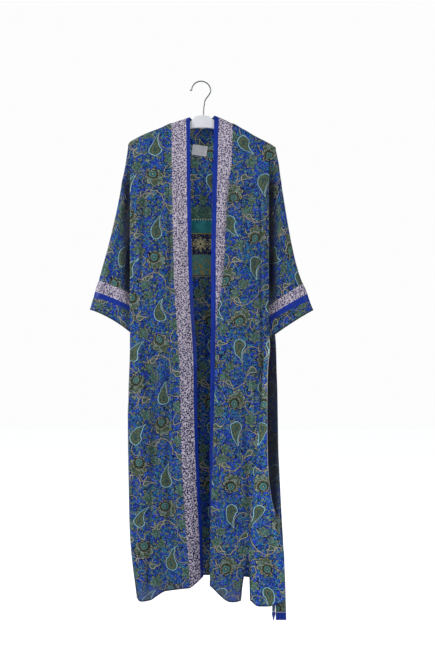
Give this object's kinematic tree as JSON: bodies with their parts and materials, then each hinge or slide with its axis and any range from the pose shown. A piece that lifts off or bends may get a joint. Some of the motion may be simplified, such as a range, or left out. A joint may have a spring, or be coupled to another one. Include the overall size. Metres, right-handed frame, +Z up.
{
  "type": "kimono on hanger",
  "caption": "Long open-front kimono of printed silk with a banded front edge, wide sleeves and a tie belt, hung on a flat plastic hanger with a wire hook",
  "frame": {"origin": "the inner top of the hook, where it rests on a rail", "axes": "+Z up, +X to the wearer's left as the garment hangs (the viewer's right), the front of the garment faces -Y"},
  "size_m": [0.6262, 0.0949, 1.5254],
  "materials": {
    "print_silk": "thin silk with a paisley and flower print on royal blue",
    "lilac_print": "lilac silk with a close speckled print",
    "royal_silk": "plain royal blue silk with a soft sheen",
    "label_white": "blank woven tab",
    "hanger_white": "smooth moulded",
    "hook_steel": "bright drawn wire"
  },
  "bodies": {
    "root": {"back": "print_silk", "back_side_right": "print_silk", "back_side_left": "print_silk", "back_shoulder_right": "print_silk", "back_shoulder_left": "print_silk", "front_right": "print_silk", "front_left": "print_silk", "front_side_right": "print_silk", "front_side_left": "print_silk", "front_shoulder_right": "print_silk", "front_shoulder_left": "print_silk", "sleeve_right": "print_silk", "sleeve_left": "print_silk", "cuff_end_right": "print_silk", "cuff_end_left": "print_silk", "belt": "print_silk", "belt_loop_left": "print_silk", "belt_loop_right": "print_silk", "band_print_right": "lilac_print", "band_print_left": "lilac_print", "band_print_neck": "lilac_print", "cuff_print_right": "lilac_print", "cuff_print_left": "lilac_print", "band_blue_right": "royal_silk", "band_blue_left": "royal_silk", "band_blue_neck": "royal_silk", "cuff_blue_right": "royal_silk", "cuff_blue_left": "royal_silk", "belt_tip_narrow": "royal_silk", "belt_tip_wide": "royal_silk", "neck_label": "label_white", "hanger_body": "hanger_white", "hanger_hook": "hook_steel"}
  },
  "joints": []
}
